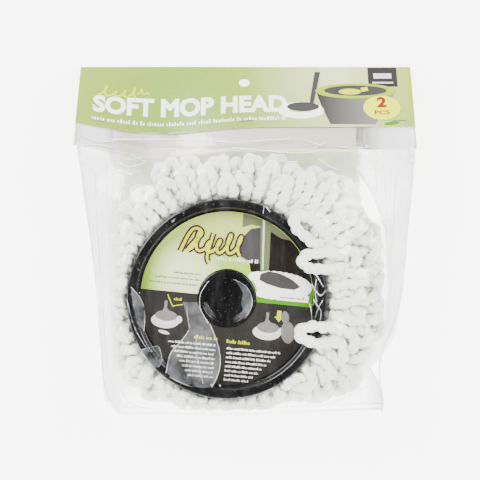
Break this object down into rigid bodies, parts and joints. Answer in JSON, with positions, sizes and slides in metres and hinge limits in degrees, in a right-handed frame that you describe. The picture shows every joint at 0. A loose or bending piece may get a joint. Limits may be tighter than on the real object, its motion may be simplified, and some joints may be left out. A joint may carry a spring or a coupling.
{
  "type": "spin mop refill pack",
  "caption": "Clear hang bag with a folded header card, holding round spin mop heads: microfibre fringes clamped to black snap-in discs, with a loose instruction card.",
  "frame": {"origin": "on the surface the pack lies on, under the middle of its bounding box", "axes": "+Z out of the front face, +Y towards the header card, +X to the right seen from the front"},
  "size_m": [0.24, 0.252, 0.0566],
  "materials": {
    "printed_header": "satin",
    "printed_insert": "gloss",
    "staple_wire": "satin",
    "clear_film": "gloss",
    "black_plastic": "satin",
    "clamp_plastic": "matte",
    "rivet_plastic": "matte",
    "tape": "matte",
    "microfibre": "matte"
  },
  "bodies": {
    "pack": {"bag_back_film": "clear_film", "bag_bottom": "clear_film", "bag_front_film": "clear_film", "bag_gusset_left": "clear_film", "bag_gusset_right": "clear_film", "bag_neck": "clear_film", "front_binding_tape": "tape", "front_bundle_01": "microfibre", "front_bundle_02": "microfibre", "front_bundle_03": "microfibre", "front_bundle_04": "microfibre", "front_bundle_05": "microfibre", "front_bundle_06": "microfibre", "front_bundle_07": "microfibre", "front_bundle_08": "microfibre", "front_bundle_09": "microfibre", "front_bundle_10": "microfibre", "front_bundle_11": "microfibre", "front_bundle_12": "microfibre", "front_clamp_ring": "clamp_plastic", "front_disc": "black_plastic", "front_inner_strands": "microfibre", "front_rivets": "rivet_plastic", "front_stray_loop_lower": "microfibre", "front_stray_loop_middle": "microfibre", "front_stray_loop_upper": "microfibre", "rear_binding_tape": "tape", "rear_bundle_01": "microfibre", "rear_bundle_02": "microfibre", "rear_bundle_03": "microfibre", "rear_bundle_04": "microfibre", "rear_bundle_05": "microfibre", "rear_bundle_06": "microfibre", "rear_bundle_07": "microfibre", "rear_bundle_08": "microfibre", "rear_bundle_09": "microfibre", "rear_bundle_10": "microfibre", "rear_bundle_11": "microfibre", "rear_bundle_12": "microfibre", "rear_clamp_ring": "clamp_plastic", "rear_disc": "black_plastic", "rear_inner_strands": "microfibre", "rear_rivets": "rivet_plastic"},
    "header": {"header_card": "printed_header", "staples": "staple_wire", "bag_mouth": "clear_film"},
    "insert": {"insert_card": "printed_insert"}
  },
  "joints": [
    {"name": "header_fold", "type": "hinge", "parent": "pack", "child": "header", "pos_m": [0, 0.0638, 0.0345], "axis": [1, 0, 0], "range_deg": [0, 90], "deforming": ["bag_neck"]},
    {"name": "insert_turn", "type": "hinge", "parent": "pack", "child": "insert", "pos_m": [-0.013, -0.0404, 0.0413], "axis": [0, 0, 1], "continuous": true}
  ]
}
